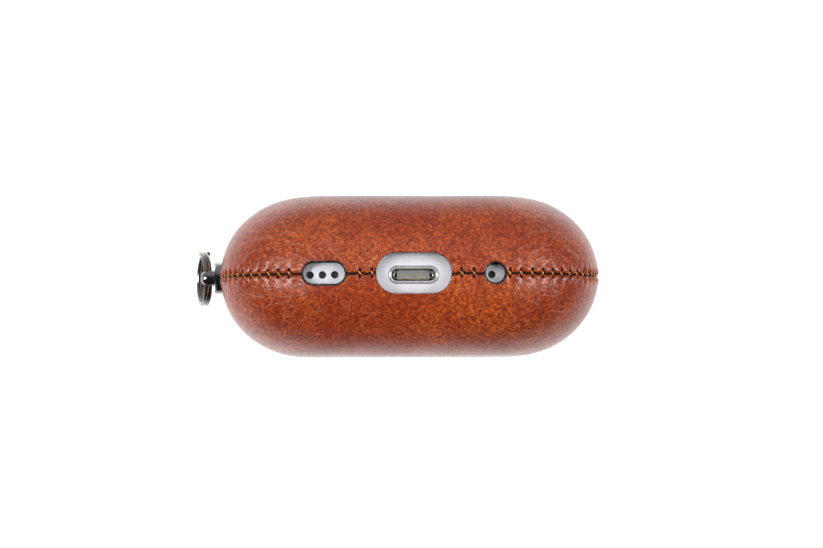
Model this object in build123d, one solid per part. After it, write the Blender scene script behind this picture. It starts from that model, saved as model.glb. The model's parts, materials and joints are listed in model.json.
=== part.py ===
"""Leather-covered charging case for wireless earbuds: hinged white case, sewn cover, stud and split ring.

Units are millimetres. +Z is up, the lid is on top, the front faces -Y and the stud is on the +X side.
The origin is on the plane the case stands on, under the middle of its charging port.
"""

from build123d import *
import math
import os

# ---- charging case, outside
DEVICE_WIDTH = 60.6
DEVICE_DEPTH = 21.7
DEVICE_HEIGHT = 45.2
DEVICE_CORNER = 17.7        # radius of the corners seen from the front
RIM_CORE = 5.5              # how far the rounded rim stays from each corner's centre
SHELL_WALL = 1.5
LID_HEIGHT = 13.8           # lid, from the parting line to its top
DEVICE_GAP = 0.3            # parting line between lid and body shells

# ---- cover
LEATHER = 1.6
LINER = 1.2
CROWN = 0.25                # extra fullness of the leather over the front and back faces
COVER_GAP = 1.0             # parting line between the lid cover and the body cover
LAND_DEPTH = 0.35           # how far the bottom is pressed flat where it stands
SEAM_GAP = 0.12
GROOVE_WIDTH = 1.3          # shallow channel that the stitches lie in
GROOVE_DEPTH = 0.75
PORT_LIP = 0.0
LINER_LIP = 0.25            # the lining shows this much inside each opening

# ---- stitching
STITCH_PITCH = 2.07
THREAD_RADIUS = 0.16
STITCH_SPAN = 1.0
STITCH_START = {1: 0.95, -1: 1.9}   # first stitch out from the middle, towards +X and -X
THREAD_BITE = 0.02          # how far a stitch is pulled into the leather
STITCH_MARGIN = 0.5         # leather kept between a stitch and an opening

# ---- hinge
HINGE_INSET = 0.55          # hinge axis, in from the case's back
OPEN_ANGLE = 95.0
BARREL_RADIUS = 1.25
HINGE_PIN_RADIUS = 0.6
RUNNING_CLEARANCE = 0.04
HINGE_WIDTH = 19.0
LID_KNUCKLE_WIDTH = 9.7
KNUCKLE_GAP = 0.15
LEAF_THICKNESS = 0.7
LEAF_HEIGHT = 4.4
SWING_CLEARANCE = 0.3

# ---- openings in the underside
PORT_SHIFT_Y = -0.25        # the case sits a little forward in its cover
PORT_CUT = (12.9, 7.0)
SPEAKER_CUT = (7.6, 4.1)
SPEAKER_CUT_X = 15.3
SPEAKER_HOLE_XS = (13.45, 15.55, 17.65)
SPEAKER_HOLE_RADIUS = 0.65
MIC_CUT_RADIUS = 1.9
MIC_CUT_X = -13.9
MIC_HOLE_X = -13.35
MESH_THICKNESS = 0.2
MESH_INSET = 0.8
SPEAKER = (8.0, 4.4, 1.5)
MIC = (3.4, 3.4, 1.4)
MODULE_GAP = 0.5            # free height between a module and the shell under it

# ---- charging port
PORT_TRIM = (8.6, 3.0)
PORT_OPENING = (7.0, 2.0)
PORT_TRIM_DEPTH = 0.9
PORT_TRIM_INSET = 0.08
PORT_TRIM_CHAMFER = 0.25
PORT_WALL = 0.45
SOCKET_DEPTH = 7.2
CONTACT_COUNT = 8
CONTACT_PITCH = 0.585
CONTACT = (0.32, 0.2, 4.2)
CONTACT_INSET = 1.4
PORT_BOARD = (11.0, 5.0, 0.8)

# ---- stud and ring
STUD_Z = 25.0
FLANGE_RADIUS = 2.8
FLANGE_PROUD = 1.05
FLANGE_SEAT = 0.4
FLANGE_CHAMFER = 0.25
SHANK_RADIUS = 1.5
POST_RADIUS = 1.4
POST_PROUD = 2.4
POST_DOME = 1.1
POST_STEM_RADIUS = 0.8
POST_HEAD_RADIUS = 1.05
POST_HEAD_THICKNESS = 0.36
POST_HEAD_SETBACK = 2.0     # head's outer face, in from the flange's face
HOLE_RADIUS = 0.86
HOLE_INSET = 1.2            # ring hole, out from the flange's face
NUT_RADIUS = 2.6
NUT_THICKNESS = 0.5
NUT_GAP = 0.1
RING_WIRE = 0.7
RING_RADIUS = 4.45          # to the middle of the wire
RING_PITCH = 0.72
RING_TURNS = 2
RING_LEAN = 12.0
RING_BOW = 0.11             # half the bow of the wire inside the hole

# ---- inside
DECK_INSET = 0.3            # top of the tray, below the parting line
DECK = 1.2
WELL_WALL = 0.9
STEM_X = 10.4
STEM_RADIUS = 3.5
WELL_FLOOR = 10.05          # height of the wells' floors
BOWL_X = 14.6
BOWL = (7.0, 6.6, 8.5)      # half width, half depth and height of the hollow for an earbud's head
LID_LINER = 0.9
EARBUD_MAGNET = (1.8, 1.4)  # radius, height
PIN = (0.45, 0.7)           # charging contact in a well: radius, height
PIN_SPACING = 2.4
BATTERY = (10.2, 12.4)      # width, depth
BATTERY_Z = 12.4
BATTERY_GAP = 0.45
BUTTON_Z = 20.0
BUTTON_RADIUS = 3.2
BUTTON_FLANGE = (3.7, 0.5)  # radius, thickness
BUTTON_TRAVEL = 0.3
BUTTON_GAP = 0.3
SWITCH = (3.0, 1.3, 3.0)
COIL = (5.0, 8.8, 0.8)      # inside radius, outside radius, thickness
COIL_SETBACK = 0.65
SHIELD = (2.6, 0.4)         # hole radius, thickness
BOARD = (30.0, 0.8, 12.0)
BOARD_Z = 12.5
BOARD_SETBACK = 0.95
LED_Z = 17.0
LED_RADIUS = 0.8
WINDOW_RADIUS = 1.2
MAGNET = (5.0, 2.0, 2.0)
MAGNET_X = 3.2
MAGNET_SETBACK = 0.75       # from the shell's inside to the front of a magnet
MAGNET_WALL = 0.5
ANCHOR = (2.6, 1.05)        # lanyard anchor: radius, thickness
ANCHOR_INSET = 0.4
ANCHOR_HOLE = 0.6
ANCHOR_HOLE_SPACING = 2.4
FIT = 0.05                  # gap between fixed pieces that touch

# ---- places that follow from the sizes above
COVER = LEATHER + LINER
MIDDLE_Z = DEVICE_HEIGHT / 2 + COVER - LAND_DEPTH
DEVICE_BOTTOM = MIDDLE_Z - DEVICE_HEIGHT / 2
DEVICE_TOP = MIDDLE_Z + DEVICE_HEIGHT / 2
SPLIT_Z = DEVICE_TOP - LID_HEIGHT
DEVICE_BACK = DEVICE_DEPTH / 2
COVER_BACK = DEVICE_BACK + COVER + CROWN
COVER_SIDE = DEVICE_WIDTH / 2 + COVER
HINGE_Y = DEVICE_BACK - HINGE_INSET
HALF_OPEN = math.radians(OPEN_ANGLE / 2)
COVER_RELIEF = (COVER_BACK - HINGE_Y) / math.cos(HALF_OPEN) + SWING_CLEARANCE
SHELL_RELIEF = HINGE_INSET / math.cos(HALF_OPEN) + SWING_CLEARANCE
FLAT_X = DEVICE_WIDTH / 2 - DEVICE_CORNER
FLAT_Z = DEVICE_HEIGHT / 2 - DEVICE_CORNER
DECK_TOP = SPLIT_Z - DECK_INSET
STEM_DEPTH = DECK_TOP - WELL_FLOOR
MAGNET_Y = -(DEVICE_BACK - SHELL_WALL - MAGNET_SETBACK - MAGNET[1] / 2)
BATTERY_HEIGHT = DECK_TOP - DECK - MAGNET[2] - BATTERY_GAP - BATTERY_Z
FLANGE_FACE = COVER_SIDE + FLANGE_PROUD
HOLE_X = FLANGE_FACE + HOLE_INSET
FAR = 200.0


def along_x(radius, length, x=0.0, y=0.0, z=0.0):
    """A cylinder along X, centred on the point given."""
    return Pos(x, y, z) * Rot(0, 90, 0) * Cylinder(radius, length)


def along_y(radius, length, x=0.0, y=0.0, z=0.0):
    """A cylinder along Y, centred on the point given."""
    return Pos(x, y, z) * Rot(90, 0, 0) * Cylinder(radius, length)


def block(size, x=0.0, y=0.0, z=0.0):
    """A box centred in X and Y, standing on z."""
    return Pos(x, y, z + size[2] / 2) * Box(*size)


def slot_prism(size, height, x=0.0, y=0.0, z=0.0):
    """A round-ended slot prism standing on z, long along X."""
    return Pos(x, y, z) * extrude(SlotOverall(size[0], size[1]), height)


def pebble(inset=0.0, crown=0.0):
    """The case's rounded form, its surface moved in by inset (out where negative)."""
    half_width = DEVICE_WIDTH / 2 - inset
    half_height = DEVICE_HEIGHT / 2 - inset
    half_depth = DEVICE_DEPTH / 2 - inset + crown
    corner = DEVICE_CORNER - inset
    rim = corner - RIM_CORE
    flat_x = half_width - corner
    flat_z = half_height - corner

    def rim_face(reach):
        """From the middle out to the rim's edge: local x runs outward, local y is depth."""
        arc = Ellipse(rim, half_depth) & Pos(rim, 0) * Rectangle(2 * rim, 2 * half_depth)
        core = Pos(-reach / 2, 0) * Rectangle(reach, 2 * half_depth)
        return Pos(reach, 0) * (core + arc)

    outward_x = Plane(origin=(0, 0, 0), x_dir=(1, 0, 0), z_dir=(0, 0, 1))
    corner_lens = revolve(outward_x * rim_face(RIM_CORE), Axis.Y, 90)
    side = extrude(outward_x * rim_face(RIM_CORE), 2 * flat_z)
    upward = Plane(origin=(0, 0, 0), x_dir=(0, 0, 1), z_dir=(1, 0, 0))
    end = extrude(upward * rim_face(half_height - rim), 2 * flat_x)
    solid = Pos(-flat_x, 0, 0) * end
    solid += Pos(-flat_x, 0, 0) * mirror(end, about=Plane.XY)
    for turn in (0, 180):
        solid += Rot(0, turn, 0) * (Pos(flat_x, 0, -flat_z) * side)
    for turn, x, z in ((0, 1, -1), (90, -1, -1), (180, -1, 1), (270, 1, 1)):
        solid += Pos(x * flat_x, 0, z * flat_z) * Rot(0, turn, 0) * corner_lens
    return Pos(0, 0, MIDDLE_Z) * solid


def half_space(z_low=-FAR, z_high=FAR, y_low=-FAR, y_high=FAR):
    """A large box between the heights and depths given."""
    middle = Pos(0, (y_low + y_high) / 2, (z_low + z_high) / 2)
    return middle * Box(2 * FAR, y_high - y_low, z_high - z_low)


def underside_z(x, inset=0.0):
    """Height of the case's underside at x, on the middle plane, at a given inset."""
    beyond = max(0.0, abs(x) - FLAT_X)
    radius = DEVICE_CORNER - inset
    return MIDDLE_Z - FLAT_Z - math.sqrt(radius**2 - beyond**2)


def both_sides(shape):
    """The shape and its mirror image across the middle, as one group."""
    return Compound([shape, mirror(shape, about=Plane.YZ)])


# ---------------------------------------------------------------- cover

def hinge_relief(radius):
    """Room behind the hinge axis for the two halves to pass each other."""
    return along_x(radius, DEVICE_WIDTH, 0, HINGE_Y, SPLIT_Z) & half_space(y_low=HINGE_Y)


def underside_cuts(lip, port_lip):
    """The three openings in the underside, smaller all round by their lips."""
    height = 2 * COVER + DEVICE_CORNER / 2
    cuts = [slot_prism([side - 2 * port_lip for side in PORT_CUT], height, 0, 0, -COVER)]
    cuts += [slot_prism([side - 2 * lip for side in SPEAKER_CUT], height, SPEAKER_CUT_X, 0, -COVER)]
    cuts += [Pos(MIC_CUT_X, 0, -COVER + height / 2) * Cylinder(MIC_CUT_RADIUS - lip, height)]
    return cuts


def window_cut(lip):
    """The status light's window in the front of the cover."""
    return along_y(WINDOW_RADIUS - lip, 3 * COVER, 0, -COVER_BACK + LEATHER, LED_Z)


def stud_seat():
    """Where the stud's flange and shank go through the cover."""
    flange = along_x(FLANGE_RADIUS + FIT, 2 * FLANGE_SEAT, COVER_SIDE, 0, STUD_Z)
    return [flange, along_x(SHANK_RADIUS + FIT, 3 * COVER, COVER_SIDE, 0, STUD_Z)]


def cover_panels():
    """The four leather panels: front and back of the body and of the lid."""
    skin = pebble(-COVER, CROWN) - pebble(-LINER)
    channel = half_space(y_low=-GROOVE_WIDTH / 2, y_high=GROOVE_WIDTH / 2)
    skin -= channel - pebble(-COVER + GROOVE_DEPTH)
    skin -= half_space(z_high=0)
    skin -= hinge_relief(COVER_RELIEF)
    for cut in underside_cuts(0, 0) + stud_seat() + [window_cut(0)]:
        skin -= cut
    below = SPLIT_Z - COVER_GAP / 2
    above = SPLIT_Z + COVER_GAP / 2
    return {
        "body_cover_front": skin & half_space(z_high=below, y_high=-SEAM_GAP / 2),
        "body_cover_back": skin & half_space(z_high=below, y_low=SEAM_GAP / 2),
        "lid_cover_front": skin & half_space(z_low=above, y_high=-SEAM_GAP / 2),
        "lid_cover_back": skin & half_space(z_low=above, y_low=SEAM_GAP / 2),
    }


def cover_liners():
    """The moulded lining that the leather is glued to, for the body and the lid."""
    lining = pebble(-LINER) - pebble()
    lining -= hinge_relief(COVER_RELIEF)
    for cut in underside_cuts(LINER_LIP, PORT_LIP) + stud_seat() + [window_cut(LINER_LIP)]:
        lining -= cut
    nut_room = 2 * (NUT_THICKNESS + NUT_GAP)
    lining -= along_x(NUT_RADIUS + FIT, nut_room, DEVICE_WIDTH / 2, 0, STUD_Z)
    return {
        "body_cover_liner": lining & half_space(z_high=SPLIT_Z - COVER_GAP / 2),
        "lid_cover_liner": lining & half_space(z_low=SPLIT_Z + COVER_GAP / 2),
    }


def seam_places(start, length):
    """Stitch places along half of the seam from its middle: (x, height below the middle, tilt)."""
    corner = DEVICE_CORNER + COVER
    quarter = corner * math.pi / 2
    places = []
    along = start
    while along < length:
        tilt = min(max((along - FLAT_X) / corner, 0.0), math.pi / 2)
        climbed = max(0.0, along - FLAT_X - quarter)
        x = min(along, FLAT_X) + corner * math.sin(tilt)
        drop = FLAT_Z + corner * math.cos(tilt) - climbed
        places.append((x, drop, tilt))
        along += STITCH_PITCH
    return places


def clear_of_openings(x, z):
    """False where a stitch would cross an opening, the stud or the gap around the lid."""
    if abs(z - SPLIT_Z) < COVER_GAP / 2 + STITCH_MARGIN:
        return False
    if x > FLAT_X and abs(z - STUD_Z) < FLANGE_RADIUS + STITCH_MARGIN:
        return False
    if z > MIDDLE_Z:
        return True
    openings = [(0, PORT_CUT[0] / 2), (SPEAKER_CUT_X, SPEAKER_CUT[0] / 2), (MIC_CUT_X, MIC_CUT_RADIUS)]
    return all(abs(x - middle) > half + STITCH_MARGIN for middle, half in openings)


def seam_thread(upward):
    """The stitches of one seam, each a short thread across it: the lid's if upward, or the body's."""
    corner = DEVICE_CORNER + COVER
    to_split = (SPLIT_Z - MIDDLE_Z) * (-1 if upward else 1)
    length = FLAT_X + corner * math.pi / 2 + FLAT_Z + to_split
    sink = GROOVE_DEPTH - THREAD_RADIUS + THREAD_BITE
    stitches = []
    for side in (-1, 1):
        for x, drop, tilt in seam_places(STITCH_START[side], length):
            out_x = side * (x - sink * math.sin(tilt))
            out_z = MIDDLE_Z + (1 if upward else -1) * (drop - sink * math.cos(tilt))
            inside_lid = out_z > SPLIT_Z
            if inside_lid == upward and clear_of_openings(side * x, out_z):
                stitches.append(along_y(THREAD_RADIUS, STITCH_SPAN, out_x, 0, out_z))
    return Compound(stitches)


# ---------------------------------------------------------------- hinge

def hinge_parts():
    """Two leaves with their knuckles, and the pin."""
    lid_half = LID_KNUCKLE_WIDTH / 2
    body_inner = lid_half + KNUCKLE_GAP
    body_width = HINGE_WIDTH / 2 - body_inner
    body_middle = body_inner + body_width / 2
    swing = BARREL_RADIUS + KNUCKLE_GAP
    leaf_y = DEVICE_BACK - LEAF_THICKNESS / 2
    plate = (HINGE_WIDTH, LEAF_THICKNESS, LEAF_HEIGHT)
    lid_leaf = block(plate, 0, leaf_y, SPLIT_Z)
    body_leaf = block(plate, 0, leaf_y, SPLIT_Z - LEAF_HEIGHT)
    body_leaf -= along_x(swing, LID_KNUCKLE_WIDTH + 2 * KNUCKLE_GAP, 0, HINGE_Y, SPLIT_Z)
    lid_leaf += along_x(BARREL_RADIUS, LID_KNUCKLE_WIDTH, 0, HINGE_Y, SPLIT_Z)
    for side in (-1, 1):
        clear = body_width + 2 * KNUCKLE_GAP
        lid_leaf -= along_x(swing, clear, side * body_middle, HINGE_Y, SPLIT_Z)
        body_leaf += along_x(BARREL_RADIUS, body_width, side * body_middle, HINGE_Y, SPLIT_Z)
    body_leaf -= along_x(HINGE_PIN_RADIUS, HINGE_WIDTH, 0, HINGE_Y, SPLIT_Z)
    lid_leaf -= along_x(HINGE_PIN_RADIUS + RUNNING_CLEARANCE, HINGE_WIDTH, 0, HINGE_Y, SPLIT_Z)
    return {
        "hinge_body_leaf": body_leaf,
        "hinge_lid_leaf": lid_leaf,
        "hinge_pin": along_x(HINGE_PIN_RADIUS, HINGE_WIDTH, 0, HINGE_Y, SPLIT_Z),
    }


def hinge_room():
    """What the hinge needs cut out of the pieces around it."""
    width = HINGE_WIDTH + 2 * KNUCKLE_GAP
    pocket = block((width, 2 * LEAF_THICKNESS + 2 * FIT, 2 * LEAF_HEIGHT + 2 * FIT),
                   0, DEVICE_BACK, SPLIT_Z - LEAF_HEIGHT - FIT)
    return [pocket, along_x(BARREL_RADIUS + KNUCKLE_GAP, width, 0, HINGE_Y, SPLIT_Z)]


# ---------------------------------------------------------------- charging case

def shells():
    """White outer shells of the body and the lid."""
    shell = pebble() - pebble(SHELL_WALL)
    shell -= hinge_relief(SHELL_RELIEF)
    trim_room = [side + 2 * FIT for side in PORT_TRIM]
    cuts = hinge_room()
    cuts += [slot_prism(trim_room, 2 * SHELL_WALL, 0, PORT_SHIFT_Y, DEVICE_BOTTOM - FIT)]
    for x in SPEAKER_HOLE_XS + (MIC_HOLE_X,):
        middle = Pos(x, PORT_SHIFT_Y, underside_z(x, SHELL_WALL / 2))
        cuts.append(middle * Cylinder(SPEAKER_HOLE_RADIUS, 2 * SHELL_WALL))
    cuts.append(along_y(BUTTON_RADIUS + BUTTON_GAP, 3 * SHELL_WALL, 0, DEVICE_BACK, BUTTON_Z))
    cuts.append(along_y(LED_RADIUS + FIT, 3 * SHELL_WALL, 0, -DEVICE_BACK, LED_Z))
    cuts.append(along_x(ANCHOR[0] + FIT, 3 * SHELL_WALL, DEVICE_WIDTH / 2, 0, STUD_Z))
    for cut in cuts:
        shell -= cut
    return {
        "body_shell": shell & half_space(z_high=SPLIT_Z - DEVICE_GAP / 2),
        "lid_shell": shell & half_space(z_low=SPLIT_Z + DEVICE_GAP / 2),
    }


def bowl(grow):
    """The hollow for an earbud's head, grown all round."""
    return scale(Sphere(1), by=(BOWL[0] + grow, BOWL[1] + grow, BOWL[2] + grow))


def stem(grow, extra=0.0):
    """The hollow for an earbud's stem, grown all round, running past the deck by extra."""
    height = STEM_DEPTH + grow + extra
    return Pos(STEM_X, 0, DECK_TOP + extra - height / 2) * Cylinder(STEM_RADIUS + grow, height)


def inner_tray():
    """The white insert with a deck and two wells for the earbuds."""
    tray = pebble(SHELL_WALL + FIT) & half_space(z_low=DECK_TOP - DECK, z_high=DECK_TOP)
    cups = both_sides(Pos(BOWL_X, 0, DECK_TOP) * bowl(WELL_WALL))
    tray += [cup & half_space(z_high=DECK_TOP) for cup in cups.solids()]
    tray += both_sides(stem(WELL_WALL)).solids()
    tray -= both_sides(stem(0, WELL_WALL)).solids()
    tray -= both_sides(Pos(BOWL_X, 0, DECK_TOP) * bowl(0)).solids()
    for cut in hinge_room():
        tray -= cut
    return tray


def inner_lid():
    """The lining of the lid's shell, with a boss at the front for its two magnets."""
    wall_inset = SHELL_WALL + FIT
    boss_size = [side + 2 * MAGNET_WALL for side in MAGNET]
    boss_size[0] += 2 * MAGNET_X
    bottom = SPLIT_Z + DEVICE_GAP / 2
    boss = block(boss_size, 0, MAGNET_Y, bottom) & pebble(wall_inset)
    lining = pebble(wall_inset) - pebble(wall_inset + LID_LINER)
    lining = (lining & half_space(z_low=bottom)) + boss
    for cut in hinge_room() + [lid_magnet_room()]:
        lining -= cut
    return lining


def lid_magnet_room():
    """The pockets of the lid's magnets, open at the top."""
    bottom = SPLIT_Z + DEVICE_GAP / 2 + MAGNET_WALL
    pocket = (MAGNET[0], MAGNET[1], MAGNET[2] + MAGNET_WALL)
    return both_sides(block(pocket, MAGNET_X, MAGNET_Y, bottom)).solids()


def magnets():
    """Magnets that hold the lid shut and the earbuds in their wells."""
    lid_z = SPLIT_Z + DEVICE_GAP / 2 + MAGNET_WALL
    body_z = DECK_TOP - DECK - MAGNET[2]
    earbud_z = DECK_TOP - STEM_DEPTH - WELL_WALL - EARBUD_MAGNET[1] / 2
    return {
        "lid_magnets": both_sides(block(MAGNET, MAGNET_X, MAGNET_Y, lid_z)),
        "body_magnets": both_sides(block(MAGNET, MAGNET_X, MAGNET_Y, body_z)),
        "earbud_magnets": both_sides(Pos(STEM_X, 0, earbud_z) * Cylinder(*EARBUD_MAGNET)),
    }


def well_pins():
    """Two charging contacts standing on the floor of each well."""
    z = DECK_TOP - STEM_DEPTH + PIN[1] / 2
    pins = [Pos(x, 0, z) * Cylinder(*PIN) for x in (STEM_X - PIN_SPACING / 2, STEM_X + PIN_SPACING / 2)]
    return Compound([*pins, *[mirror(pin, about=Plane.YZ) for pin in pins]])


# ---------------------------------------------------------------- underside

def charging_port():
    """Trim, socket, contacts and the small board the socket is soldered to."""
    trim_z = DEVICE_BOTTOM + PORT_TRIM_INSET
    trim = slot_prism(PORT_TRIM, PORT_TRIM_DEPTH, 0, PORT_SHIFT_Y, trim_z)
    trim -= slot_prism(PORT_OPENING, PORT_TRIM_DEPTH, 0, PORT_SHIFT_Y, trim_z)
    trim = chamfer(trim.faces().sort_by(Axis.Z)[0].inner_wires()[0].edges(), PORT_TRIM_CHAMFER)
    socket_z = trim_z + PORT_TRIM_DEPTH
    outside = [side + 2 * PORT_WALL for side in PORT_OPENING]
    socket = slot_prism(outside, SOCKET_DEPTH + PORT_WALL, 0, PORT_SHIFT_Y, socket_z)
    socket -= slot_prism(PORT_OPENING, SOCKET_DEPTH, 0, PORT_SHIFT_Y, socket_z)
    wall_y = PORT_SHIFT_Y - PORT_OPENING[1] / 2
    contacts = []
    for index in range(CONTACT_COUNT):
        x = (index - (CONTACT_COUNT - 1) / 2) * CONTACT_PITCH
        contacts.append(block(CONTACT, x, wall_y + CONTACT[1] / 2, socket_z + CONTACT_INSET))
    board = block(PORT_BOARD, 0, PORT_SHIFT_Y, socket_z + SOCKET_DEPTH + PORT_WALL)
    return {
        "port_trim": trim,
        "port_socket": socket,
        "port_contacts": Compound(contacts),
        "port_board": board,
    }


def sound_parts():
    """Speaker and microphone modules, and the mesh behind each hole."""
    speaker_x = sum(SPEAKER_HOLE_XS) / len(SPEAKER_HOLE_XS)

    def module(size, x):
        highest = underside_z(abs(x) + size[0] / 2, SHELL_WALL)
        return block(size, x, PORT_SHIFT_Y, highest + MODULE_GAP)

    def mesh(x):
        disc = Cylinder(SPEAKER_HOLE_RADIUS, MESH_THICKNESS)
        return Pos(x, PORT_SHIFT_Y, underside_z(x, MESH_INSET)) * disc

    return {
        "speaker": module(SPEAKER, speaker_x),
        "microphone": module(MIC, MIC_HOLE_X),
        "speaker_mesh": Compound([mesh(x) for x in SPEAKER_HOLE_XS]),
        "microphone_mesh": mesh(MIC_HOLE_X),
    }


# ---------------------------------------------------------------- electronics

def electronics():
    """Battery, boards, charging coil, status light, setup button and its switch."""
    coil_y = DEVICE_BACK - SHELL_WALL - COIL_SETBACK - COIL[2] / 2
    coil = along_y(COIL[1], COIL[2], 0, coil_y, BUTTON_Z) - along_y(COIL[0], COIL[2], 0, coil_y, BUTTON_Z)
    shield_y = coil_y - COIL[2] / 2 - SHIELD[1] / 2
    shield = along_y(COIL[1], SHIELD[1], 0, shield_y, BUTTON_Z)
    shield -= along_y(SHIELD[0], SHIELD[1], 0, shield_y, BUTTON_Z)
    board_y = -DEVICE_BACK + SHELL_WALL + BOARD_SETBACK + BOARD[1] / 2
    led_front = -DEVICE_BACK + FIT
    led_length = board_y - BOARD[1] / 2 - led_front
    wall_in = DEVICE_BACK - SHELL_WALL
    cap_length = SHELL_WALL
    button = along_y(BUTTON_RADIUS, cap_length, 0, wall_in - FIT + cap_length / 2, BUTTON_Z)
    flange_y = wall_in - FIT - BUTTON_FLANGE[1] / 2
    button += along_y(BUTTON_FLANGE[0], BUTTON_FLANGE[1], 0, flange_y, BUTTON_Z)
    switch_top = flange_y - BUTTON_FLANGE[1] / 2 - BUTTON_TRAVEL - FIT
    return {
        "battery": block((*BATTERY, BATTERY_HEIGHT), 0, 0, BATTERY_Z),
        "charging_coil": coil,
        "coil_shield": shield,
        "main_board": block(BOARD, 0, board_y, BOARD_Z),
        "status_light": along_y(LED_RADIUS, led_length, 0, led_front + led_length / 2, LED_Z),
        "setup_button": button,
        "button_switch": block(SWITCH, 0, switch_top - SWITCH[1] / 2, BUTTON_Z - SWITCH[2] / 2),
    }


# ---------------------------------------------------------------- stud and ring

def stud_parts():
    """Stud base through the cover, its nut, the swivel post and the case's own lanyard anchor."""
    seat_x = COVER_SIDE - FLANGE_SEAT
    inside_x = DEVICE_WIDTH / 2 + NUT_GAP
    flange_width = FLANGE_FACE - seat_x
    flange = along_x(FLANGE_RADIUS, flange_width, seat_x + flange_width / 2, 0, STUD_Z)
    flange = chamfer(flange.faces().sort_by(Axis.X)[-1].edges(), FLANGE_CHAMFER)
    shank_length = seat_x - inside_x
    base = flange + along_x(SHANK_RADIUS, shank_length, inside_x + shank_length / 2, 0, STUD_Z)
    head_face = FLANGE_FACE - POST_HEAD_SETBACK
    bore_length = FLANGE_FACE - inside_x
    base -= along_x(POST_STEM_RADIUS + RUNNING_CLEARANCE, bore_length, inside_x + bore_length / 2, 0, STUD_Z)
    room = head_face + RUNNING_CLEARANCE - inside_x
    base -= along_x(POST_HEAD_RADIUS + RUNNING_CLEARANCE, room, inside_x + room / 2, 0, STUD_Z)
    nut = along_x(NUT_RADIUS, NUT_THICKNESS, inside_x + NUT_THICKNESS / 2, 0, STUD_Z)
    nut -= along_x(SHANK_RADIUS, NUT_THICKNESS, inside_x + NUT_THICKNESS / 2, 0, STUD_Z)

    post_length = POST_PROUD - FIT
    post = along_x(POST_RADIUS, post_length, FLANGE_FACE + FIT + post_length / 2, 0, STUD_Z)
    post = fillet(post.faces().sort_by(Axis.X)[-1].edges(), POST_DOME)
    stem_length = POST_HEAD_SETBACK + FIT
    post += along_x(POST_STEM_RADIUS, stem_length, head_face + stem_length / 2, 0, STUD_Z)
    post += along_x(POST_HEAD_RADIUS, POST_HEAD_THICKNESS, head_face - POST_HEAD_THICKNESS / 2, 0, STUD_Z)
    post -= along_y(HOLE_RADIUS, 4 * POST_RADIUS, HOLE_X, 0, STUD_Z)

    anchor_x = DEVICE_WIDTH / 2 - ANCHOR_INSET - ANCHOR[1] / 2
    anchor = along_x(ANCHOR[0], ANCHOR[1], anchor_x, 0, STUD_Z)
    for step in (-0.5, 0.5):
        anchor -= along_x(ANCHOR_HOLE, ANCHOR[1], anchor_x, 0, STUD_Z + step * ANCHOR_HOLE_SPACING)
    return {"stud_base": base, "stud_nut": nut, "swivel_post": post, "lanyard_anchor": anchor}


def split_ring():
    """A two-turn ring of round wire through the post, leaning out from the cover."""
    lean = math.radians(RING_LEAN)
    reach = RING_RADIUS - RING_BOW
    middle = (HOLE_X + reach * math.sin(lean), 0, STUD_Z + reach * math.cos(lean))
    place = Plane(origin=middle, x_dir=(0, 1, 0), z_dir=(math.cos(lean), 0, -math.sin(lean)))
    path = Helix(RING_PITCH, RING_PITCH * RING_TURNS, RING_RADIUS)
    section = Plane(origin=path @ 0, z_dir=path % 0) * Circle(RING_WIRE / 2)
    wire = sweep(section, path, is_frenet=True)
    hole_turns = [RING_PITCH * (turn + 0.75) for turn in range(RING_TURNS)]
    centred = Pos(0, 0, -sum(hole_turns) / RING_TURNS) * wire
    return place.location * centred


def main():
    parts = {}
    parts.update(cover_panels())
    parts.update(cover_liners())
    parts["body_stitches"] = seam_thread(upward=False)
    parts["lid_stitches"] = seam_thread(upward=True)
    parts.update(hinge_parts())
    parts.update(shells())
    parts["inner_tray"] = inner_tray()
    parts["inner_lid"] = inner_lid()
    parts.update(magnets())
    parts["well_pins"] = well_pins()
    parts.update(charging_port())
    parts.update(sound_parts())
    parts.update(electronics())
    parts.update(stud_parts())
    parts["split_ring"] = split_ring()
    os.makedirs("parts", exist_ok=True)
    for name, shape in parts.items():
        export_step(Compound(shape.solids()), f"parts/{name}.step")


if __name__ == "__main__":
    main()
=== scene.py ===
import bisect
import bmesh
import bpy
import json
import math
import random
from mathutils import Matrix, Vector, noise


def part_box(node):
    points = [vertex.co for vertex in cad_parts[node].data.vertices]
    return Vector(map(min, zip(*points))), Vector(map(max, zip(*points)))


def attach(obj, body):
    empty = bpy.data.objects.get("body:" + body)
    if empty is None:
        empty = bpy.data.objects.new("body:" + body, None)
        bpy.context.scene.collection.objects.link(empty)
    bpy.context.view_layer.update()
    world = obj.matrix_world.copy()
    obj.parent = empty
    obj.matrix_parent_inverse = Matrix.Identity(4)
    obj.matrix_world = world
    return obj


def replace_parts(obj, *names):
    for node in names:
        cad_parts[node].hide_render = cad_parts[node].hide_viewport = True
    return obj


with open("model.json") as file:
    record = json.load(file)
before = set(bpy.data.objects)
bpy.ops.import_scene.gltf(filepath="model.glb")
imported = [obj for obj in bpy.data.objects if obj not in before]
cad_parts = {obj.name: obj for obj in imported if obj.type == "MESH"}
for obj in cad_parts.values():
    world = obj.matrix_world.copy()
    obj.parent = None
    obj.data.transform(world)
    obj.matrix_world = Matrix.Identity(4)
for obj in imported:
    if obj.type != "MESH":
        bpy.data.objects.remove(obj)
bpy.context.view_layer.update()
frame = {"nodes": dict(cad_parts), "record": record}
nodes = frame["nodes"]
scene = bpy.context.scene
mm = 0.001
random.seed(7)
print("frame loaded")


# shader helpers

def screen(red, green, blue):   # a colour as a screen shows it, made linear
    linear = [((c / 255 + 0.055) / 1.055) ** 2.4 if c > 10 else c / 3294.6 for c in (red, green, blue)]
    return tuple(linear) + (1.0,)


def wire(tree, socket, value):
    if isinstance(value, bpy.types.NodeSocket):
        tree.links.new(value, socket)
    else:
        socket.default_value = value


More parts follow.
